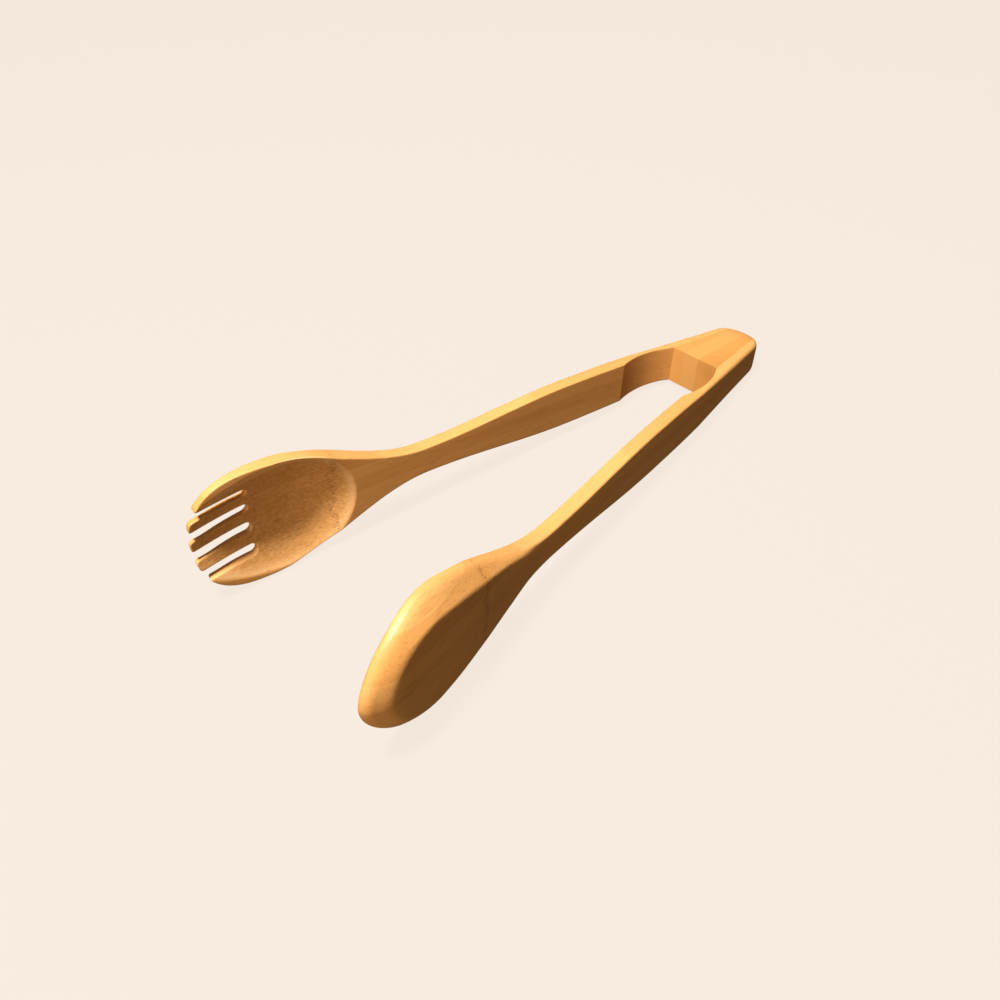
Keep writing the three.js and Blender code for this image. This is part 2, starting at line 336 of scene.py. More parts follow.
def scoop_share(s, w, blade):
    """0 at the edge of the scoop and outside it, 1 at its deepest place."""
    deepest = stave_length(blade) - blade["scoop_deepest"]
    neck_reach = blade["scoop_start"] - blade["scoop_deepest"]
    tip_reach_of_scoop = blade["scoop_deepest"] - blade["scoop_end"]
    along = (s - deepest) / np.where(s < deepest, neck_reach, tip_reach_of_scoop)
    return np.clip(1 - along**2 - (w / (blade["half_width"] - SCOOP_LIP)) ** 2, 0, 1)


def inner_face(s, w, blade):
    """n of the face towards the other arm: flat, but for the scallop and the scoop."""
    off = np.clip(np.abs(s - SCALLOP_MIDDLE), 0, SCALLOP_RADIUS)
    scallop = np.sqrt(SCALLOP_RADIUS**2 - off**2) + SCALLOP_DEPTH - SCALLOP_RADIUS
    lift = faired(blade["lift"])(stave_length(blade) - s)
    scoop = lift + (blade["scoop_depth"] - lift) * scoop_share(s, w, blade) ** blade["scoop_power"]
    return np.maximum(scallop, scoop)


def outer_flat(s):
    return NOSE_THICKNESS + (STAVE_THICKNESS - NOSE_THICKNESS) * np.clip(s / TAPER_LENGTH, 0, 1)


def nose_face(s):
    """n of the round nose of the head, and no limit past it."""
    n = np.linspace(0, 2 * STAVE_THICKNESS, 1200)
    limits = np.full(len(s), 2 * STAVE_THICKNESS)
    flat_from = NOSE_CENTRE - NOSE_RADIUS * math.sin(OUTER_ANGLE)
    for i in np.flatnonzero(s < 1.5 * NOSE_RADIUS):
        x = s[i] * math.cos(SPLAY) - n * math.sin(SPLAY)
        y = SPACER_NOSE_HALF + s[i] * math.sin(SPLAY) + n * math.cos(SPLAY)
        out = (x < flat_from) & (np.hypot(x - NOSE_CENTRE, y) > NOSE_RADIUS)
        if out.any():
            limits[i] = n[out][0]
    return limits


def soft_least(a, b, radius):
    """The lesser of two heights, with the corner between them rounded."""
    share = np.clip(0.5 + (b - a) / (4 * radius), 0, 1)
    return b + (a - b) * share - 2 * radius * share * (1 - share)


def outer_face(s, w, to_rim, blade):
    """n of the outer face: flat along the arm, then a bevelled and slightly crowned bowl back."""
    from_tip = stave_length(blade) - s
    profiles = (faired(blade[key])(from_tip) for key in ("rim", "back", "bevel", "crease", "crown"))
    rim, back, bevel, crease, crown = profiles
    half = np.maximum(stave_half(s, blade), blade["neck_half"])
    dome = back + crown * (1 - (w / half) ** 2)
    bevelled = rim + (back - rim) * to_rim / bevel
    bowl = soft_least(bevelled, dome, crease)
    blend = ease(0, 1, (BOWL_START - from_tip) / BOWL_BLEND + 0.5)
    flat = np.minimum(outer_flat(s), nose_face(s))
    return flat + (bowl - flat) * blend


def eased(to_edge, radius):
    """How far a sanded edge falls away at a distance from it."""
    short = np.clip(1 - to_edge / np.maximum(radius, 1e-6), 0, 1)
    return radius * (1 - np.sqrt(1 - short**2))


# ---- Staves ----


def plan_points(blade):
    """The outline, and the points inside it: rings along the edge, creases, and an even grid."""
    outline = whole_outline(blade, blade["slots"])
    edge = outline[np.append(np.arange(len(outline)), 0)]
    middle = (outline + np.roll(outline, -1, axis=0)) / 2
    run = np.roll(outline, -1, axis=0) - outline
    inward = np.stack((run[:, 1], -run[:, 0]), axis=-1)
    inward /= np.linalg.norm(inward, axis=1)[:, None]
    kept = []
    for i, depth in enumerate(EDGE_RINGS):
        ring = (middle if i % 2 else outline) + inward * depth
        kept.append(ring[distance_to(ring, edge) > 0.93 * depth])
    rim = whole_outline(blade, 0)
    rim_run = np.roll(rim, -1, axis=0) - rim
    rim_in = np.stack((rim_run[:, 1], -rim_run[:, 0]), axis=-1)
    rim_in /= np.linalg.norm(rim_in, axis=1)[:, None]
    bevel = faired(blade["bevel"])(stave_length(blade) - rim[:, 0])
    in_bowl = rim[:, 0] > stave_length(blade) - CREASE_START
    deepest = stave_length(blade) - blade["scoop_deepest"]
    turn = np.linspace(0, 2 * math.pi, 260)
    marked = []
    for offset in (-0.6, 0.0, 0.6):
        marked.append((rim + rim_in * (bevel + offset)[:, None])[in_bowl])
        along = np.where(np.cos(turn) < 0, blade["scoop_start"] - blade["scoop_deepest"],
                         blade["scoop_deepest"] - blade["scoop_end"]) + offset / 2
        across = blade["half_width"] - SCOOP_LIP + offset / 2
        marked.append(np.stack((deepest + along * np.cos(turn), across * np.sin(turn)), axis=-1))
        for cut in (-1, 1):
            chord = math.sqrt(SCALLOP_RADIUS**2 - (SCALLOP_RADIUS - SCALLOP_DEPTH) ** 2)
            w = np.arange(-SWELL_HALF, SWELL_HALF, EDGE_STEP)
            s = np.full_like(w, SCALLOP_MIDDLE + cut * chord + offset / 2)
            marked.append(np.stack((s, w), axis=-1))
    marked = np.concatenate(marked)
    clear = inside_of(marked, outline)
    clear[clear] = distance_to(marked[clear], edge) > EDGE_RINGS[-1] + 0.3
    marked = marked[clear]
    grid = []
    rows = np.arange(-blade["half_width"], blade["half_width"], GRID_STEP * math.sqrt(0.75))
    for i, w in enumerate(rows):
        s = np.arange(0, stave_length(blade), GRID_STEP) + (i % 2) * GRID_STEP / 2
        grid.append(np.stack((s, np.full_like(s, w)), axis=-1))
    grid = np.concatenate(grid)
    grid = grid[inside_of(grid, outline)]
    grid = grid[distance_to(grid, edge) > EDGE_RINGS[-1] + 0.5 * GRID_STEP]
    near = np.array([np.abs(marked - p).max(1).min() for p in grid])
    grid = grid[near > 0.55 * GRID_STEP]
    return outline, np.concatenate(kept + [marked, grid])


def stave(name, blade, side):
    """One stave as a closed mesh: an inner face, an outer face and the wall between them."""
    outline, within = plan_points(blade)
    count = len(outline)
    loop = [(i, (i + 1) % count) for i in range(count)]
    points = [Vector(p) for p in np.concatenate((outline, within))]
    found = delaunay_2d_cdt(points, loop, [], 0, 1e-4, False)
    plan = np.array([tuple(p) for p in found[0]])
    faces = np.array([tuple(f) for f in found[2]])
    faces = faces[inside_of(plan[faces].mean(axis=1), outline)]
    s, w = plan.T
    start = nose_start()
    around = outline[np.append(np.arange(count), 0)]
    at_nose = around[:, 0] < start + 1e-6
    first = int(np.argmax(~at_nose)) - 1
    last = len(at_nose) - int(np.argmax(~at_nose[::-1]))
    to_edge = distance_to(plan, around[first : last + 1])
    rim = whole_outline(blade, 0)
    to_rim = distance_to(plan, rim[np.append(np.arange(len(rim)), 0)])
    inner = inner_face(s, w, blade)
    outer = outer_face(s, w, to_rim, blade)
    free = ease(0, 1, (s - CAVITY_START - 1) / EASE_FADE)
    soft = np.clip((outer - inner) / EASE_FADE, 0, 1)
    inner_ease = faired(blade["inner_ease"])(stave_length(blade) - s)
    inner = inner + eased(to_edge, inner_ease * free)
    arm_ease = faired(blade["outer_ease"])(stave_length(blade) - s)
    outer_ease = ease(HEAD_EASE, arm_ease, s / SCALLOP_MIDDLE - 0.5)
    outer = outer - eased(to_edge, outer_ease * soft)
    edges = {(a, b) for f in faces for a, b in zip(f, np.roll(f, -1))}
    rim_edges = sorted((a, b) for a, b in edges if (b, a) not in edges)
    size = len(plan)
    levels = [inner + (outer - inner) * i / WALL_ROWS for i in range(WALL_ROWS + 1)]
    on_rim = sorted({a for a, _ in rim_edges})
    place = {a: i for i, a in enumerate(on_rim)}
    between = [level[on_rim] for level in levels[1:WALL_ROWS]]
    n = np.concatenate([levels[0], levels[WALL_ROWS], *between])
    all_s = np.concatenate([s, s] + [s[on_rim]] * (WALL_ROWS - 1))
    all_w = np.concatenate([w, w] + [w[on_rim]] * (WALL_ROWS - 1))
    edge_gap = np.concatenate([to_edge, to_edge] + [to_edge[on_rim]] * (WALL_ROWS - 1))
    scooped = np.zeros(len(n))
    scooped[:size] = scoop_share(s, w, blade)

    def vertex(a, level):
        if level == 0:
            return a
        if level == WALL_ROWS:
            return a + size
        return 2 * size + (level - 1) * len(on_rim) + place[a]

    polygons = [tuple(f) for f in faces] + [tuple(f[::-1] + size) for f in faces]
    for a, b in rim_edges:
        for i in range(WALL_ROWS):
            polygons.append((vertex(b, i), vertex(a, i), vertex(a, i + 1), vertex(b, i + 1)))
    if side < 0:
        polygons = [p[::-1] for p in polygons]
    # Near the nose the height follows the head's own length, and its edge is eased as well.
    head = board_to_head(all_s, n, all_w, side)
    near_nose = all_s < SCALLOP_MIDDLE
    past_centre = head[:, 0] - NOSE_CENTRE
    to_nose = NOSE_RADIUS - np.hypot(np.minimum(past_centre, 0), head[:, 1])
    rounded = eased(to_nose, HEAD_EASE) * ease(1, 0, head[:, 0] / NOSE_CENTRE)
    shrink = (handle_half(head[:, 0]) - rounded) / handle_half(all_s)
    head[near_nose, 2] *= shrink[near_nose]
    mesh = bpy.data.meshes.new(name)
    mesh.from_pydata((head / 1000).tolist(), [], [[int(v) for v in p] for p in polygons])
    mesh.transform(HEAD_TO_ROW)
    board = mesh.attributes.new("board", "FLOAT_VECTOR", "POINT")
    board.data.foreach_set("vector", np.stack((all_s, n, all_w), axis=-1).ravel() / 1000)
    mesh.attributes.new("scooped", "FLOAT", "POINT").data.foreach_set("value", scooped)
    worn = np.exp(-edge_gap / WORN_REACH)
    mesh.attributes.new("worn", "FLOAT", "POINT").data.foreach_set("value", worn)
    mesh.shade_smooth()
    mesh.set_sharp_from_angle(angle=SHARP_ANGLE)
    obj = bpy.data.objects.new(name, mesh)
    bpy.context.scene.collection.objects.link(obj)
    return obj


# ---- Nodes ----


def node(tree, kind, inputs=None, **settings):
    """Adds a node, with its settings, and its inputs as values or as sockets to link."""
    added = tree.nodes.new(kind)
    for key, value in settings.items():
        setattr(added, key, value)
    for key, value in (inputs or {}).items():
        if isinstance(value, bpy.types.NodeSocket):
            tree.links.new(value, added.inputs[key])
        else:
            added.inputs[key].default_value = value
    return added


def colour(code):
    """An sRGB hex colour as a linear one."""
    parts = [int(code[i : i + 2], 16) / 255 for i in (1, 3, 5)]
    linear = [c / 12.92 if c <= 0.04045 else ((c + 0.055) / 1.055) ** 2.4 for c in parts]
    return (*linear, 1.0)


# ---- Spacer: laminated strips, made by Geometry Nodes ----


def strip_tree():
    """A strip of the spacer: a block bent to the wedge, the round nose and the side outline."""
    tree = bpy.data.node_groups.new("Spacer strip", "GeometryNodeTree")
    tree.interface.new_socket("Geometry", in_out="INPUT", socket_type="NodeSocketGeometry")
    tree.interface.new_socket("Geometry", in_out="OUTPUT", socket_type="NodeSocketGeometry")
    for label in ("Length", "From", "From Slope", "To", "To Slope", "Nose Radius", "Nose Reach",
                  "Nose Half", "Nose Length", "Nose Fall", "Swell", "Swell Length", "Swell Power",
                  "Edge Radius"):
        tree.interface.new_socket(label, in_out="INPUT", socket_type="NodeSocketFloat")
    tree.interface.new_socket("Material", in_out="INPUT", socket_type="NodeSocketMaterial")
    size = node(tree, "NodeGroupInput").outputs
    block = node(tree, "GeometryNodeMeshCube", {"Vertices X": 72, "Vertices Y": 18,
                                                "Vertices Z": 24})
    position = node(tree, "GeometryNodeInputPosition").outputs[0]
    unit = node(tree, "ShaderNodeSeparateXYZ", {0: position})
    t = node(tree, "ShaderNodeMath", {0: unit.outputs[0], 1: 0.5}, operation="ADD").outputs[0]
    share = node(tree, "ShaderNodeMath", {0: unit.outputs[1], 1: 0.5}, operation="ADD").outputs[0]
    x = node(tree, "ShaderNodeMath", {0: t, 1: size["Length"]}, operation="MULTIPLY").outputs[0]
    centre = node(tree, "ShaderNodeMath", {0: size["Nose Radius"], 1: size["Nose Reach"]},
                  operation="SUBTRACT").outputs[0]
    # The nose's place depends on y, and y on the wedge's width at x, so x is worked out twice.
    for _ in range(2):
        low = node(tree, "ShaderNodeMath", {0: x, 1: size["From Slope"], 2: size["From"]},
                   operation="MULTIPLY_ADD").outputs[0]
        high = node(tree, "ShaderNodeMath", {0: x, 1: size["To Slope"], 2: size["To"]},
                    operation="MULTIPLY_ADD").outputs[0]
        y = node(tree, "ShaderNodeMapRange", {0: share, 3: low, 4: high}).outputs[0]
        y2 = node(tree, "ShaderNodeMath", {0: y, 1: y}, operation="MULTIPLY").outputs[0]
        r2 = node(tree, "ShaderNodeMath", {0: size["Nose Radius"], 1: 2.0},
                  operation="POWER").outputs[0]
        left = node(tree, "ShaderNodeMath", {0: r2, 1: y2}, operation="SUBTRACT").outputs[0]
        chord = node(tree, "ShaderNodeMath", {0: left}, operation="SQRT").outputs[0]
        start = node(tree, "ShaderNodeMath", {0: centre, 1: chord}, operation="SUBTRACT").outputs[0]
        x = node(tree, "ShaderNodeMapRange", {0: t, 3: start, 4: size["Length"]}).outputs[0]
    short = node(tree, "ShaderNodeMath", {0: size["Nose Length"], 1: x},
                 operation="SUBTRACT").outputs[0]
    reach = node(tree, "ShaderNodeMath", {0: size["Nose Length"], 1: size["Nose Reach"]},
                 operation="ADD").outputs[0]
    short = node(tree, "ShaderNodeMath", {0: short, 1: reach}, operation="DIVIDE",
                 use_clamp=True).outputs[0]
    short2 = node(tree, "ShaderNodeMath", {0: short, 1: short}, operation="MULTIPLY").outputs[0]
    lost = node(tree, "ShaderNodeMath", {0: short2, 1: size["Nose Fall"]},
                operation="MULTIPLY").outputs[0]
    left = node(tree, "ShaderNodeMath", {0: 1.0, 1: lost}, operation="SUBTRACT").outputs[0]
    nose = node(tree, "ShaderNodeMath", {0: left}, operation="SQRT").outputs[0]
    nose = node(tree, "ShaderNodeMath", {0: nose, 1: size["Nose Half"]},
                operation="MULTIPLY").outputs[0]
    past = node(tree, "ShaderNodeMath", {0: x, 1: size["Nose Length"]},
                operation="SUBTRACT").outputs[0]
    rise = node(tree, "ShaderNodeMath", {0: past, 1: size["Swell Length"]}, operation="DIVIDE",
                use_clamp=True).outputs[0]
    turn = node(tree, "ShaderNodeMath", {0: rise, 1: math.pi / 2}, operation="MULTIPLY").outputs[0]
    sine = node(tree, "ShaderNodeMath", {0: turn}, operation="SINE").outputs[0]
    swell = node(tree, "ShaderNodeMath", {0: sine, 1: size["Swell Power"]},
                 operation="POWER").outputs[0]
    half = node(tree, "ShaderNodeMath", {0: swell, 1: size["Swell"], 2: nose},
                operation="MULTIPLY_ADD").outputs[0]
    # The edge falls away towards the round nose, and not behind it, where the staves are.
    to_centre = node(tree, "ShaderNodeMath", {0: centre, 1: x}, operation="SUBTRACT").outputs[0]
    to_centre = node(tree, "ShaderNodeMath", {0: to_centre, 1: 0.0}, operation="MAXIMUM").outputs[0]
    flat = node(tree, "ShaderNodeCombineXYZ", {0: to_centre, 1: y}).outputs[0]
    radial = node(tree, "ShaderNodeVectorMath", {0: flat}, operation="LENGTH").outputs["Value"]
    depth = node(tree, "ShaderNodeMath", {0: size["Nose Radius"], 1: radial},
                 operation="SUBTRACT").outputs[0]
    behind = node(tree, "ShaderNodeMath", {0: x, 1: centre}, operation="SUBTRACT").outputs[0]
    behind = node(tree, "ShaderNodeMath", {0: behind, 1: 0.0}, operation="MAXIMUM").outputs[0]
    depth = node(tree, "ShaderNodeMath", {0: depth, 1: behind}, operation="ADD").outputs[0]
    depth = node(tree, "ShaderNodeMath", {0: depth, 1: size["Edge Radius"]}, operation="DIVIDE",
                 use_clamp=True).outputs[0]
    missing = node(tree, "ShaderNodeMath", {0: 1.0, 1: depth}, operation="SUBTRACT").outputs[0]
    missing2 = node(tree, "ShaderNodeMath", {0: missing, 1: missing},
                    operation="MULTIPLY").outputs[0]
    kept2 = node(tree, "ShaderNodeMath", {0: 1.0, 1: missing2}, operation="SUBTRACT").outputs[0]
    kept = node(tree, "ShaderNodeMath", {0: kept2}, operation="SQRT").outputs[0]
    fall = node(tree, "ShaderNodeMath", {0: 1.0, 1: kept}, operation="SUBTRACT").outputs[0]
    fall = node(tree, "ShaderNodeMath", {0: fall, 1: size["Edge Radius"]},
                operation="MULTIPLY").outputs[0]
    half = node(tree, "ShaderNodeMath", {0: half, 1: fall}, operation="SUBTRACT").outputs[0]
    half = node(tree, "ShaderNodeMath", {0: half, 1: 0.0001}, operation="MAXIMUM").outputs[0]
    double = node(tree, "ShaderNodeMath", {0: unit.outputs[2], 1: 2.0},
                  operation="MULTIPLY").outputs[0]
    z = node(tree, "ShaderNodeMath", {0: double, 1: half}, operation="MULTIPLY").outputs[0]
    place = node(tree, "ShaderNodeCombineXYZ", {0: x, 1: y, 2: z}).outputs[0]
    bent = node(tree, "GeometryNodeSetPosition", {0: block.outputs[0], "Position": place})
    board = node(tree, "GeometryNodeStoreNamedAttribute",
                 {0: bent.outputs[0], "Name": "board", "Value": place}, data_type="FLOAT_VECTOR")
    whole = node(tree, "GeometryNodeRealizeInstances", {0: board.outputs[0]})
    done = node(tree, "GeometryNodeSetMaterial",
                {0: whole.outputs[0], "Material": size["Material"]})
    node(tree, "NodeGroupOutput", {0: done.outputs[0]})
    return tree


def spacer_strip(name, tree, low, low_slope, high, high_slope, material):
    """One strip as a plain mesh in the row frame."""
    sizes = {
        "Length": CAVITY_START / 1000,
        "From": low / 1000,
        "From Slope": low_slope,
        "To": high / 1000,
        "To Slope": high_slope,
        "Nose Radius": NOSE_RADIUS / 1000,
        "Nose Reach": NOSE_REACH / 1000,
        "Nose Half": NOSE_HALF / 1000,
        "Nose Length": NOSE_LENGTH / 1000,
        "Nose Fall": 1 - NOSE_BLUNT**2,
        "Swell": (SWELL_HALF - NOSE_HALF) / 1000,
        "Swell Length": (SWELL_FROM_NOSE - NOSE_LENGTH) / 1000,
        "Swell Power": SWELL_POWER,
        "Edge Radius": HEAD_EASE / 1000,
        "Material": material,
    }
    blank = bpy.data.objects.new(name + "_rule", bpy.data.meshes.new(name + "_rule"))
    bpy.context.scene.collection.objects.link(blank)
    rule = blank.modifiers.new("strip", "NODES")
    rule.node_group = tree
    for item in tree.interface.items_tree:
        if item.in_out == "INPUT" and item.name in sizes:
            rule[item.identifier] = sizes[item.name]
    evaluated = blank.evaluated_get(bpy.context.evaluated_depsgraph_get())
    mesh = bpy.data.meshes.new_from_object(evaluated)
    bpy.data.objects.remove(blank)
    mesh.name = name
    mesh.transform(HEAD_TO_ROW)
    mesh.shade_smooth()
    mesh.set_sharp_from_angle(angle=SHARP_ANGLE)
    obj = bpy.data.objects.new(name, mesh)
    bpy.context.scene.collection.objects.link(obj)
    return obj


# ---- Materials ----


def oiled_bamboo(name, pale, deep, fleck, scraped_and_highlight, strip_width, node_at):
    """Sanded and oiled bamboo: pale ground tissue with long brown fibre bundles.

    Sawn strips are glued side by side, so the tone steps a little from strip to strip. A bundle is
    about half a millimetre across: a long streak on a face along the grain, a short fleck where
    the scoop cuts across it. A growth node crosses the strips as a ragged brown band.
    """
    material = bpy.data.materials.new(name)
    material.use_nodes = True
    tree = material.node_tree
    shader = tree.nodes["Principled BSDF"]
    board = node(tree, "ShaderNodeAttribute", attribute_name="board")
    mm = node(tree, "ShaderNodeVectorMath", {0: board.outputs["Vector"], "Scale": 1000.0},
              operation="SCALE").outputs[0]
    axes = node(tree, "ShaderNodeSeparateXYZ", {0: mm})
    # Fibres: 0.5 mm across and 60 mm long.
    stretched = node(tree, "ShaderNodeMapping", {0: mm, "Scale": (1 / 60, 2.0, 2.0)}).outputs[0]
    fibres = node(tree, "ShaderNodeTexNoise", {"Vector": stretched, "Scale": 1.0, "Detail": 3.0,
                                               "Roughness": 0.6}).outputs[0]
    # Slow change of tone: 8 mm across and 90 mm long.
    slow = node(tree, "ShaderNodeMapping", {0: mm, "Scale": (1 / 90, 1 / 8, 1 / 8)}).outputs[0]
    drift = node(tree, "ShaderNodeTexNoise", {"Vector": slow, "Scale": 1.0,
                                              "Detail": 2.0}).outputs[0]
    # Bundles: cells 0.7 mm across and 14 mm long, each with a brown core.
    cells = node(tree, "ShaderNodeMapping", {0: mm, "Scale": (1 / 14, 1.4, 1.4)}).outputs[0]
    cores = node(tree, "ShaderNodeTexVoronoi", {"Vector": cells, "Scale": 1.0}).outputs["Distance"]
    bundles = node(tree, "ShaderNodeMapRange", {0: cores, 1: 0.36, 2: 0.14, 3: 0.0,
                                                4: 1.0}).outputs[0]
    # Speckle where the scoop cuts across the fibres: 0.8 mm across and 2 mm long.
    short = node(tree, "ShaderNodeMapping", {0: mm, "Scale": (0.5, 1.25, 1.25)}).outputs[0]
    speckle = node(tree, "ShaderNodeTexNoise", {"Vector": short, "Scale": 1.0, "Detail": 3.0,
                                                "Roughness": 0.7}).outputs[0]
    # Strips: each with its own tone.
    strip = node(tree, "ShaderNodeMath", {0: axes.outputs[2], 1: strip_width}, operation="DIVIDE")
    strip = node(tree, "ShaderNodeMath", {0: strip.outputs[0], 1: 0.37}, operation="ADD").outputs[0]
    number = node(tree, "ShaderNodeMath", {0: strip}, operation="FLOOR").outputs[0]
    own = node(tree, "ShaderNodeTexWhiteNoise", {"W": number},
               noise_dimensions="1D").outputs["Value"]
    # The growth node: a ragged band about 4 mm wide, stepped from strip to strip.
    ragged = node(tree, "ShaderNodeTexNoise", {"Vector": mm, "Scale": 0.9, "Detail": 3.0,
                                               "Roughness": 0.7}).outputs[0]
    stepped = node(tree, "ShaderNodeMath", {0: own, 1: 2.0, 2: axes.outputs[0]},
                   operation="MULTIPLY_ADD").outputs[0]
    stepped = node(tree, "ShaderNodeMath", {0: ragged, 1: 4.0, 2: stepped},
                   operation="MULTIPLY_ADD").outputs[0]
    off = node(tree, "ShaderNodeMath", {0: stepped, 1: node_at + 3.0},
               operation="SUBTRACT").outputs[0]
    off = node(tree, "ShaderNodeMath", {0: off}, operation="ABSOLUTE").outputs[0]
    band = node(tree, "ShaderNodeMapRange", {0: off, 1: 2.2, 2: 0.4, 3: 0.0, 4: 1.0}).outputs[0]
    broken = node(tree, "ShaderNodeMapRange", {0: speckle, 1: 0.45, 2: 0.6, 3: 0.0,
                                               4: 1.0}).outputs[0]
    scar = node(tree, "ShaderNodeMath", {0: band, 1: broken}, operation="MULTIPLY").outputs[0]
    # Colour.
    tone = node(tree, "ShaderNodeMath", {0: fibres, 1: 0.5}, operation="MULTIPLY").outputs[0]
    tone = node(tree, "ShaderNodeMath", {0: drift, 1: 0.5, 2: tone},
                operation="MULTIPLY_ADD").outputs[0]
    tone = node(tree, "ShaderNodeMath", {0: own, 1: 0.3, 2: tone},
                operation="MULTIPLY_ADD").outputs[0]
    tone = node(tree, "ShaderNodeMapRange", {0: tone, 1: 0.35, 2: 0.95}).outputs[0]
    wood = node(tree, "ShaderNodeMix", {"Factor": tone, 6: colour(pale), 7: colour(deep)},
                data_type="RGBA").outputs[2]
    amount = node(tree, "ShaderNodeMath", {0: bundles, 1: 0.28}, operation="MULTIPLY").outputs[0]
    wood = node(tree, "ShaderNodeMix", {"Factor": amount, 6: wood, 7: colour(fleck)},
                data_type="RGBA").outputs[2]
    scooped = node(tree, "ShaderNodeAttribute", attribute_name="scooped").outputs["Fac"]
    in_scoop = node(tree, "ShaderNodeMapRange", {0: scooped, 1: 0.02, 2: 0.08}).outputs[0]
    dark = node(tree, "ShaderNodeMapRange", {0: speckle, 1: 0.5, 2: 0.68, 3: 0.0,
                                             4: 0.24}).outputs[0]
    amount = node(tree, "ShaderNodeMath", {0: dark, 1: in_scoop}, operation="MULTIPLY").outputs[0]
    wood = node(tree, "ShaderNodeMix", {"Factor": amount, 6: wood, 7: colour(fleck)},
                data_type="RGBA").outputs[2]
    light = node(tree, "ShaderNodeMapRange", {0: speckle, 1: 0.48, 2: 0.34, 3: 0.0,
                                              4: 0.6}).outputs[0]
    amount = node(tree, "ShaderNodeMath", {0: light, 1: in_scoop}, operation="MULTIPLY").outputs[0]
    wood = node(tree, "ShaderNodeMix", {"Factor": amount, 6: wood, 7: colour(scraped_and_highlight)},
                data_type="RGBA").outputs[2]
    # The scoop's shallow border is painted lighter: partly a painted highlight where its shallow
    # sides face the light, partly paler wood cut more along the fibres.
    painted_highlight_border = node(tree, "ShaderNodeMapRange", {0: scooped, 1: 0.3, 2: 0.1, 3: 0.0,
                                               4: 0.5}).outputs[0]
    amount = node(tree, "ShaderNodeMath", {0: painted_highlight_border, 1: in_scoop}, operation="MULTIPLY").outputs[0]
    wood = node(tree, "ShaderNodeMix", {"Factor": amount, 6: wood, 7: colour(scraped_and_highlight)},
                data_type="RGBA").outputs[2]
    amount = node(tree, "ShaderNodeMath", {0: scar, 1: 0.5}, operation="MULTIPLY").outputs[0]
    wood = node(tree, "ShaderNodeMix", {"Factor": amount, 6: wood, 7: colour(fleck)},
                data_type="RGBA").outputs[2]
    worn = node(tree, "ShaderNodeAttribute", attribute_name="worn").outputs["Fac"]
    amount = node(tree, "ShaderNodeMath", {0: worn, 1: 0.3}, operation="MULTIPLY").outputs[0]
    wood = node(tree, "ShaderNodeMix", {"Factor": amount, 6: wood, 7: colour(pale)},
                data_type="RGBA").outputs[2]
    tree.links.new(wood, shader.inputs["Base Color"])
    rough = node(tree, "ShaderNodeMapRange", {0: fibres, 1: 0.3, 2: 0.7, 3: 0.4,
                                              4: 0.54}).outputs[0]
    tree.links.new(rough, shader.inputs["Roughness"])
    relief = node(tree, "ShaderNodeMath", {0: bundles, 1: -0.6, 2: fibres},
                  operation="MULTIPLY_ADD")
    bump = node(tree, "ShaderNodeBump", {"Strength": 0.35, "Distance": 0.00012,
                                         "Height": relief.outputs[0]}).outputs[0]
    tree.links.new(bump, shader.inputs["Normal"])
    # The oil soaks in: a soft, broad highlight, with only a thin film over the wood.
    shader.inputs["IOR"].default_value = 1.5
    shader.inputs["Coat Weight"].default_value = 0.08
    shader.inputs["Coat Roughness"].default_value = 0.35
    return material


# ---- Pieces ----

STAVE_NODE_AT = 241.0      # the growth node crosses both staves at the start of their bowls
NO_NODE = 500.0            # past the end of a strip, so it shows none
# The fourth colour is scraped wood for the scoop's pale speckle, and also the painted highlight on
# the scoop's shallow border.
stave_bamboo = oiled_bamboo("Oiled bamboo, natural", "#e4aa66", "#cc8d48", "#7d4417", "#f0c490",
                            6.5, STAVE_NODE_AT)
fork_side_bamboo = oiled_bamboo("Oiled bamboo, amber strip", "#dea45e", "#cd8e47", "#7d4417",
                                "#ecbd84", 9.0, NO_NODE)
core_bamboo = oiled_bamboo("Oiled bamboo, pale strip", "#dfa763", "#cf9550", "#84491b",
                           "#ecbd84", 9.0, NO_NODE)
spoon_side_bamboo = oiled_bamboo("Oiled bamboo, brown strip", "#dba05a", "#cb8c45", "#74400f",
                                 "#ecbd84", 9.0, NO_NODE)

for label, blade, side in (("fork", FORK, -1), ("spoon", SPOON, 1)):
    piece = stave(label + "_stave", blade, side)
    piece.data.materials.append(stave_bamboo)
    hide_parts(label + "_stave_butt", label + "_arm")
    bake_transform(piece)

strips = strip_tree()
wedge = SPACER_NOSE_HALF - GLUE_LINE
fall_away = math.tan(SPLAY)
fork_joint, spoon_joint = STRIP_JOINTS
for label, low, low_slope, high, high_slope, finish, slot in (
    ("fork_side", -wedge, -fall_away, fork_joint, 0, fork_side_bamboo, "spacer_outer_strip"),
    ("middle", fork_joint + GLUE_LINE, 0, spoon_joint, 0, core_bamboo, "spacer_middle_strip"),
    ("spoon_side", spoon_joint + GLUE_LINE, 0, wedge, fall_away, spoon_side_bamboo,
     "spacer_outer_strip"),
):
    piece = spacer_strip("spacer_" + label, strips, low, low_slope, high, high_slope, finish)
    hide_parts("spacer_strip_" + label)
    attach(piece, "head")

# ---- Floor, light and camera ----

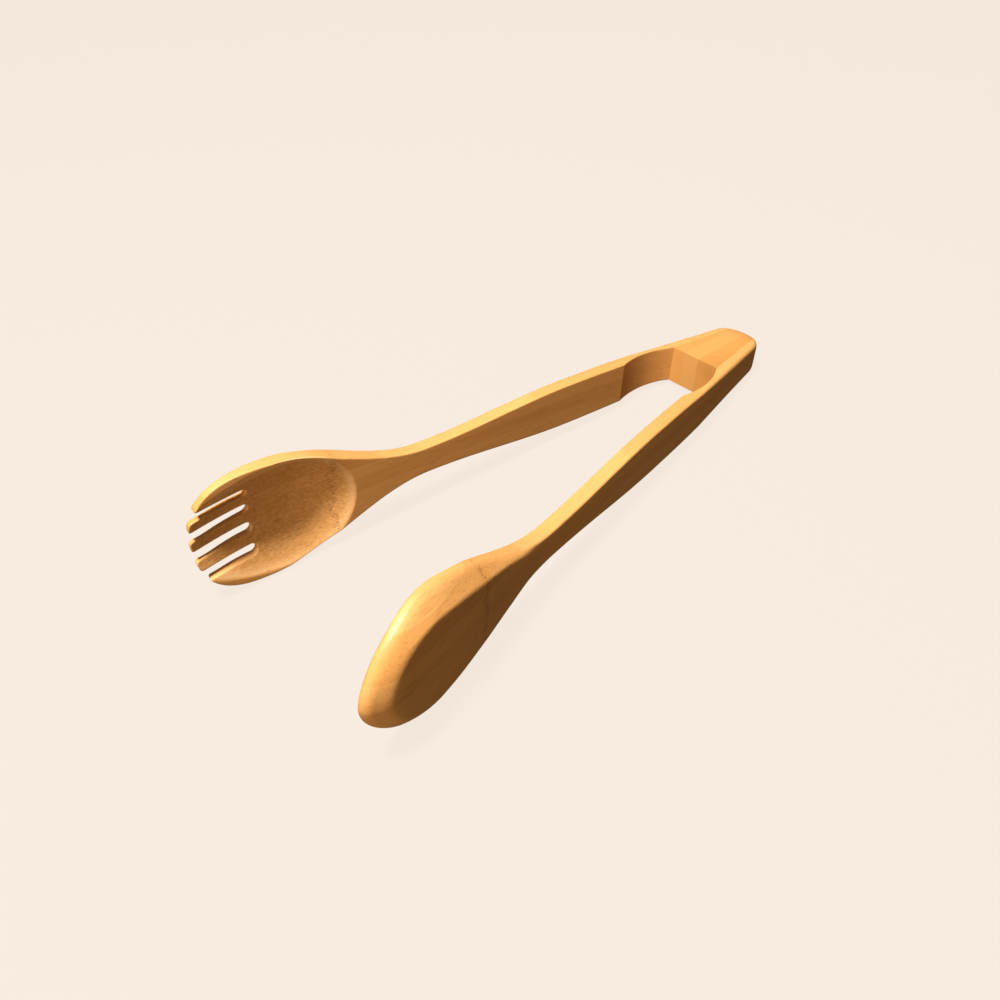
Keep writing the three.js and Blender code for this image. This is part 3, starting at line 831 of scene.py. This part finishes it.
FLOOR_SIZE = 12.0
FLOOR_HEIGHT = -0.0005
bpy.ops.mesh.primitive_plane_add(size=FLOOR_SIZE, location=(0, 0, FLOOR_HEIGHT))
floor = bpy.context.active_object
floor.name = "floor"
floor.visible_diffuse = False
floor.visible_glossy = False
paint = bpy.data.materials.new("Cream paper sweep")
paint.use_nodes = True
sheet = paint.node_tree.nodes["Principled BSDF"]
sheet.inputs["Base Color"].default_value = colour("#2c2a28")
sheet.inputs["Roughness"].default_value = 1.0
sheet.inputs["Specular IOR Level"].default_value = 0.0
sheet.inputs["Emission Color"].default_value = colour("#f7ebe0")
sheet.inputs["Emission Strength"].default_value = 0.95
floor.data.materials.append(paint)
floor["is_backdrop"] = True

world = bpy.data.worlds.new("Studio")
world.use_nodes = True
bpy.context.scene.world = world
sky = world.node_tree
sky.nodes.clear()
seen = node(sky, "ShaderNodeBackground", {"Color": colour("#f7ebe0"), "Strength": 1.0})
fill = node(sky, "ShaderNodeBackground", {"Color": colour("#f5d09a"), "Strength": 0.15})
path = node(sky, "ShaderNodeLightPath")
mixed = node(sky, "ShaderNodeMixShader", {0: path.outputs["Is Camera Ray"], 1: fill.outputs[0],
                                          2: seen.outputs[0]})
node(sky, "ShaderNodeOutputWorld", {0: mixed.outputs[0]})


def softbox(name, towards, distance, size, watts, tint):
    """A square soft light in a direction from the middle of the tongs."""
    lamp = bpy.data.lights.new(name, "AREA")
    lamp.shape = "SQUARE"
    lamp.size = size
    lamp.energy = watts
    lamp.color = colour(tint)[:3]
    obj = bpy.data.objects.new(name, lamp)
    bpy.context.scene.collection.objects.link(obj)
    direction = Vector(towards).normalized()
    obj.location = direction * distance
    obj.rotation_euler = direction.to_track_quat("Z", "Y").to_euler()


softbox("Key softbox", (0.3, 0.0, 0.95), 1.3, 0.22, 33, "#fffaf2")
softbox("Tip side softbox", (0.95, 0.32, 0.2), 1.3, 0.8, 8, "#ffe8c8")

VIEW_AZIMUTH = math.radians(45.41)
VIEW_ELEVATION = math.radians(39.96)
VIEW_ROLL = math.radians(1.65)
VIEW_DISTANCE = 0.39095
VIEW_AIM = Vector((0.18836, 0.00709, 0.0))
VIEW_LENS = 32.82

back = Vector((math.cos(VIEW_AZIMUTH) * math.cos(VIEW_ELEVATION),
               math.sin(VIEW_AZIMUTH) * math.cos(VIEW_ELEVATION), math.sin(VIEW_ELEVATION)))
right = Vector((-math.sin(VIEW_AZIMUTH), math.cos(VIEW_AZIMUTH), 0))
above = back.cross(right)
rolled_right = math.cos(VIEW_ROLL) * right + math.sin(VIEW_ROLL) * above
rolled_above = math.cos(VIEW_ROLL) * above - math.sin(VIEW_ROLL) * right
turn = Matrix((rolled_right, rolled_above, back)).transposed().to_4x4()
camera = bpy.data.objects.new("camera", bpy.data.cameras.new("camera"))
camera.data.sensor_width = 36
camera.data.lens = VIEW_LENS
camera.data.clip_start = 0.01
camera.matrix_world = HEAD_TO_ROW @ Matrix.Translation(VIEW_AIM + back * VIEW_DISTANCE) @ turn
bpy.context.scene.collection.objects.link(camera)
bpy.context.scene.camera = camera
bpy.context.scene.view_settings.view_transform = "Standard"

low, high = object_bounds()
